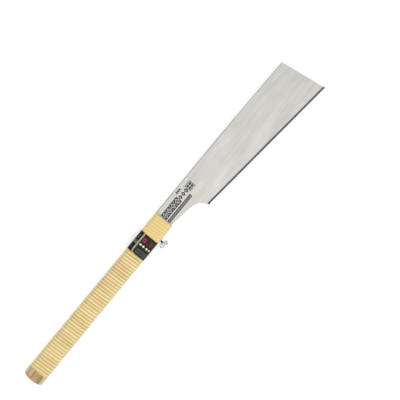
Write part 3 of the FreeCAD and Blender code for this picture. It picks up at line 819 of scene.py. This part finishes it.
def neck_ornament(shader, place):
    """The ornament's mask: two rows of tiles, a chain of lozenges, a square stamp, three dots.

    It is laid out in mm, along X from the front winding and along Y from the handle's middle.
    """
    start = FRONT_HIGH[0] / MM + PRINT_GAP
    middle = HANDLE_Y / MM
    cell, inside = shader.row(place, start, 10.0, 4)
    at = (0, middle + 2.3)
    light_ring = shader.less(
        shader.lozenge_mask(cell, at, (3.9, 4.9)), shader.lozenge_mask(cell, at, (2.7, 3.4))
    )
    kernel = shader.lozenge_mask(cell, at, (0.9, 1.2))
    square = shader.box_mask(cell, at, (4.75, 6.0), 0.5)
    tile = shader.less(square, shader.either(light_ring, kernel))
    upper = shader.math("MULTIPLY", tile, inside)

    cell, inside = shader.row(place, start + 40.0, 7.0, 3)
    seed = shader.less(
        shader.lozenge_mask(cell, at, (3.3, 4.6)), shader.lozenge_mask(cell, at, (1.0, 1.4))
    )
    chain = shader.math("MULTIPLY", seed, inside)

    at = (start + 67.2, middle + 2.35)
    light_line = shader.less(
        shader.box_mask(place, at, (5.5, 4.9), 0.7), shader.box_mask(place, at, (4.7, 4.1), 0.5)
    )
    cross = shader.either(
        shader.box_mask(place, at, (0.45, 4.4), 0.1), shader.box_mask(place, at, (5.0, 0.45), 0.1)
    )
    stamp = shader.less(
        shader.box_mask(place, at, (6.6, 6.0), 1.2), shader.either(light_line, cross)
    )

    cell, inside = shader.row(place, start, 5.2, 11)
    at = (0, middle - 8.5)
    tile = shader.less(
        shader.box_mask(cell, at, (2.35, 2.85), 0.4), shader.lozenge_mask(cell, at, (0.8, 1.2))
    )
    lower = shader.math("MULTIPLY", tile, inside)

    cell, inside = shader.row(place, start + 43.0, 3.6, 3)
    dot = shader.box_mask(cell, (0, middle + 11.4), (1.4, 1.9), 0.9)
    small = shader.math("MULTIPLY", dot, inside)
    return shader.either(upper, chain, stamp, lower, small)


# Printed patches of the label as (middle, half size, corner radius, colour), in mm along the
# handle from the butt side and round it from the middle of the upper flat.
LABEL_PATCHES = [
    ((19.8, -4.6), (19.4, 14.6), 4.6, linear(170, 166, 134)),
    ((20.4, -6.2), (19.6, 13.4), 3.6, linear(20, 23, 17)),
    ((28.1, 14.3), (8.0, 3.7), 0.6, linear(36, 22, 17)),
    ((17.3, 14.3), (2.9, 3.9), 0.4, linear(104, 116, 98)),
    ((7.0, -6.0), (3.7, 9.7), 0.8, linear(73, 86, 75)),
    ((7.0, -6.0), (2.3, 8.3), 0.4, linear(58, 69, 61)),
    ((27.2, 2.1), (3.5, 2.6), 1.4, linear(182, 42, 84)),
    ((25.4, -10.8), (1.0, 3.9), 0.5, linear(112, 38, 48)),
    ((28.2, -10.8), (1.0, 3.9), 0.5, linear(112, 38, 48)),
    ((31.0, -10.8), (1.0, 3.9), 0.5, linear(112, 38, 48)),
]
LABEL_LOZENGES = [
    ((18.0, 3.2), (2.0, 2.5), linear(236, 234, 220)),
    ((18.0, -2.4), (2.0, 2.5), linear(236, 234, 220)),
    ((18.0, -8.9), (2.0, 2.5), linear(236, 234, 220)),
    ((18.0, -14.2), (2.0, 2.4), linear(206, 208, 190)),
    ((27.2, 2.1), (1.5, 1.5), linear(70, 16, 30)),
    ((29.0, 14.3), (1.6, 2.0), linear(120, 102, 80)),
    ((25.0, 14.3), (1.6, 2.0), linear(120, 102, 80)),
    ((7.0, 14.3), (2.0, 2.2), linear(58, 68, 58)),
]


def label_material():
    """Glossy printed film: plain patches, bars and lozenges on black."""
    shader = Shader("label_film")
    film = shader.attribute("film")
    grain = shader.noise(shader.vector("MULTIPLY", film, (1, 1, 0)), 900.0, 3.0, 0.6)
    colour = shader.mix(grain, linear(14, 17, 12), linear(26, 30, 22))
    for middle, half, radius, patch in LABEL_PATCHES:
        mask = shader.box_mask(film, middle, half, radius)
        colour = shader.mix(shader.math("MULTIPLY", mask, 0.96), colour, patch)
    for middle, half, patch in LABEL_LOZENGES:
        colour = shader.mix(shader.lozenge_mask(film, middle, half), colour, patch)
    shader.set(Base_Color=colour, Roughness=shader.between(grain, 0.3, 0.7, 0.26, 0.38))
    shader.set(Specular_IOR_Level=0.14)
    creases = shader.noise(shader.vector("MULTIPLY", film, (160, 60, 0)), 1.0, 2.0, 0.5)
    shader.bump(creases, 0.2, 0.12 * MM)
    return shader.material


def chrome_material():
    """Bright plating on a slightly uneven casting, with painted dark reflection on the wings' tips and edges."""
    shader = Shader("wing_chrome")
    place = shader.position()
    pits = shader.noise(place, 1400.0, 3.0, 0.6)
    film = shader.noise(place, 260.0, 3.0, 0.55)
    shades = [
        (0.3, linear(208, 200, 204)),
        (0.55, linear(230, 223, 227)),
        (0.75, linear(240, 237, 238)),
    ]
    colour = shader.ramp(film, shades)
    away = shader.vector("SUBTRACT", place, tuple(SCREW_AT))
    side = shader.vector("DOT_PRODUCT", away, tuple(SCREW_SIDE), out=1)
    out = shader.vector("DOT_PRODUCT", away, tuple(SCREW_OUT), out=1)
    # Painted reflection: the wings' tips and rims darken, in patches that follow the film noise.
    tip = shader.between(shader.math("ABSOLUTE", side), 5.4 * MM, 7.4 * MM)
    from_middle = shader.math("ABSOLUTE", shader.math("SUBTRACT", out, WING_MIDDLE))
    rim = shader.between(from_middle, 2.2 * MM, 3.8 * MM)
    strength = shader.between(film, 0.25, 0.6, 0.45, 0.95)
    painted_dark_reflection = shader.math("MULTIPLY", shader.either(tip, rim), strength)
    colour = shader.mix(painted_dark_reflection, colour, linear(106, 110, 110))
    shader.set(Base_Color=colour, Metallic=1.0)
    shader.set(Roughness=shader.between(film, 0.3, 0.7, 0.16, 0.3))
    shader.bump(pits, 0.25, 0.06 * MM)
    return shader.material


# Pieces


def make_winding(name, node, half_height_at, seed, material):
    low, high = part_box(node)
    mesh = wind_cane(name, low[0], high[0], half_height_at, seed)
    piece = link_piece(name, mesh, material, "handle")
    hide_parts(node)
    return piece


def paint_nodes(material, *names):
    for name in names:
        mesh = frame["nodes"][name].data
        mesh.materials.clear()
        mesh.materials.append(material)


def make_front_winding(material):
    """The short winding, with the hole that the screw's bush stands in."""
    name, node = "rattan_winding_front", "rattan_wrap_front"
    piece = make_winding(name, node, front_half_height, 5.0, material)
    reach = 2 * CANE_THICKNESS
    hole = lathe("hole", [(-reach, BUSH_HOLE_RADIUS), (reach, BUSH_HOLE_RADIUS)], 40)
    piece.data = cut(piece.data, hole)


def make_replacement(name, node, mesh, material, body):
    """A piece that stands for one CAD node."""
    piece = link_piece(name, mesh, material, body)
    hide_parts(node)


make_camera()
make_floor()
make_lights()

cane = cane_material("cane", linear(250, 229, 170), linear(236, 211, 148), linear(205, 178, 112))
front_cane = cane_material(
    "front_cane", linear(250, 226, 160), linear(238, 206, 132), linear(180, 140, 74)
)
holder_steel = worked_steel("holder_steel", linear(176, 175, 172), 0.42, (60, 1600, 1600))
pin_steel = worked_steel("pin_steel", linear(190, 189, 186), 0.26, (900, 900, 90), 0.06)
thread_steel = worked_steel("screw_steel", linear(74, 76, 76), 0.34, (500, 500, 500), 0.2)

make_winding("rattan_winding_main", "rattan_wrap_main", main_half_height, 1.0, cane)
make_front_winding(front_cane)
make_replacement(
    "label_film_wrap",
    "label_band",
    wrap_label("label_film_wrap"),
    label_material(),
    "handle",
)
make_replacement(
    "thumb_screw_cast_wing",
    "thumb_screw_wing",
    cast_wing("thumb_screw_cast_wing"),
    chrome_material(),
    "thumb_screw",
)
make_replacement(
    "thumb_screw_rod",
    "thumb_screw_shank",
    threaded_shank("thumb_screw_rod"),
    thread_steel,
    "thumb_screw",
)
paint_nodes(wood_material(), "handle_half_right", "handle_half_left")
paint_nodes(blade_material(), "blade")
paint_nodes(holder_steel, "holder_cheek_right", "holder_cheek_left", "holder_spacer", "clamp_block")
paint_nodes(holder_steel, "clamp_shoe")
paint_nodes(pin_steel, "holder_rivets", "blade_stop_pin", "handle_cross_pins", "clamp_block_pins")
paint_nodes(pin_steel, "screw_bush")
